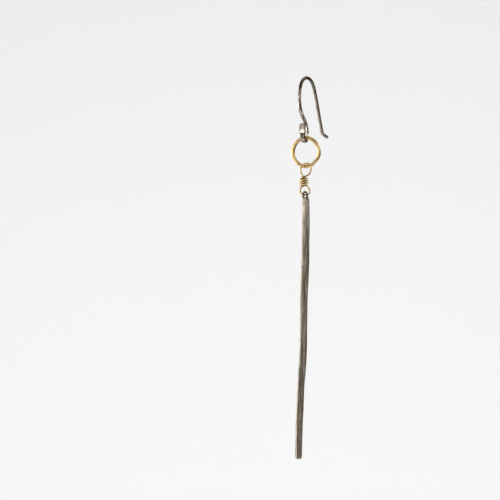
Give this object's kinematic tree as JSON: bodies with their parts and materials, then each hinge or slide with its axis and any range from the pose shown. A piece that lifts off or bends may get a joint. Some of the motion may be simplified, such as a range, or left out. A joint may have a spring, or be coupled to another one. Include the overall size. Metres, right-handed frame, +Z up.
{
  "type": "bar earring",
  "caption": "Long bar earring: a hooked ear wire carries a hammered ring, a wire-wrapped link and a slender hammered bar, each swinging in the one above.",
  "frame": {"origin": "inside top of the ear wire's arch, where the ear lobe carries it; everything else hangs from there", "axes": "+Z up along the hanging drop; the front of the ear is towards -Y and the tail of the ear wire towards +Y; X is sideways"},
  "size_m": [0.0074, 0.0165, 0.0961],
  "materials": {
    "darkened_silver": "hammered and darkened silver, brushed along its length",
    "gold_fill": "hammered gold-filled wire, soft shine"
  },
  "bodies": {
    "ear_wire": {"ear_wire": "darkened_silver"},
    "ring": {"ring": "gold_fill"},
    "wrapped_link": {"wrapped_link": "gold_fill"},
    "bar": {"bar": "darkened_silver"}
  },
  "joints": [
    {"name": "ring_swing", "type": "hinge", "parent": "ear_wire", "child": "ring", "pos_m": [0, -0.0012, -0.01592], "axis": [0, 1, 0], "range_deg": [-45, 45]},
    {"name": "link_swing", "type": "hinge", "parent": "ring", "child": "wrapped_link", "pos_m": [0, -0.0012, -0.02186], "axis": [0.9659, 0.2588, 0], "range_deg": [-75, 75]},
    {"name": "bar_swing", "type": "hinge", "parent": "wrapped_link", "child": "bar", "pos_m": [0.00004, -0.00111, -0.02895], "axis": [0.1392, 0.9903, 0], "range_deg": [-90, 90]}
  ]
}
